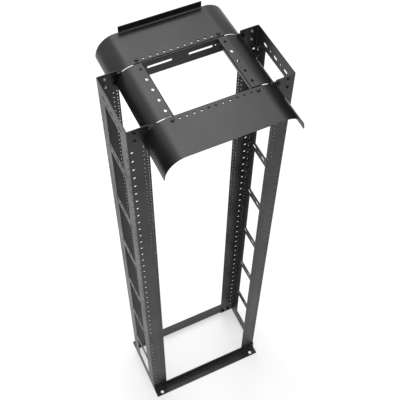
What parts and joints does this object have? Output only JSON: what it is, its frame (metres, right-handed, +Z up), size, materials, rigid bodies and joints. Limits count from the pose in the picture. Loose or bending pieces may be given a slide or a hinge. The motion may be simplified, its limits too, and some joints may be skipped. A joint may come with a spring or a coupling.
{
  "type": "two post open frame rack",
  "caption": "Tall open frame equipment rack: two deep side channels with cable windows, base angles for floor anchors and a curved cable trough across the top.",
  "frame": {"origin": "centre of the rack's footprint on the floor", "axes": "+X across the rack to the right, +Y from front to rear, +Z up"},
  "size_m": [0.596, 0.582, 2.1617],
  "materials": {
    "frame": "charcoal black powder coat, semi gloss",
    "trough": "charcoal black powder coat, semi gloss"
  },
  "bodies": {
    "root": {"left_front_post": "frame", "left_rear_post": "frame", "right_front_post": "frame", "right_rear_post": "frame", "left_top_web": "frame", "right_top_web": "frame", "left_foot_web": "frame", "right_foot_web": "frame", "left_web_bar_1": "frame", "left_web_bar_2": "frame", "left_web_bar_3": "frame", "left_web_bar_4": "frame", "left_web_bar_5": "frame", "left_web_bar_6": "frame", "right_web_bar_1": "frame", "right_web_bar_2": "frame", "right_web_bar_3": "frame", "right_web_bar_4": "frame", "right_web_bar_5": "frame", "right_web_bar_6": "frame", "front_base_angle": "frame", "rear_base_angle": "frame", "front_top_crossmember": "frame", "rear_top_crossmember": "frame", "front_trough_tray": "trough", "rear_trough_tray": "trough", "left_side_trough": "trough", "right_side_trough": "trough"}
  },
  "joints": []
}
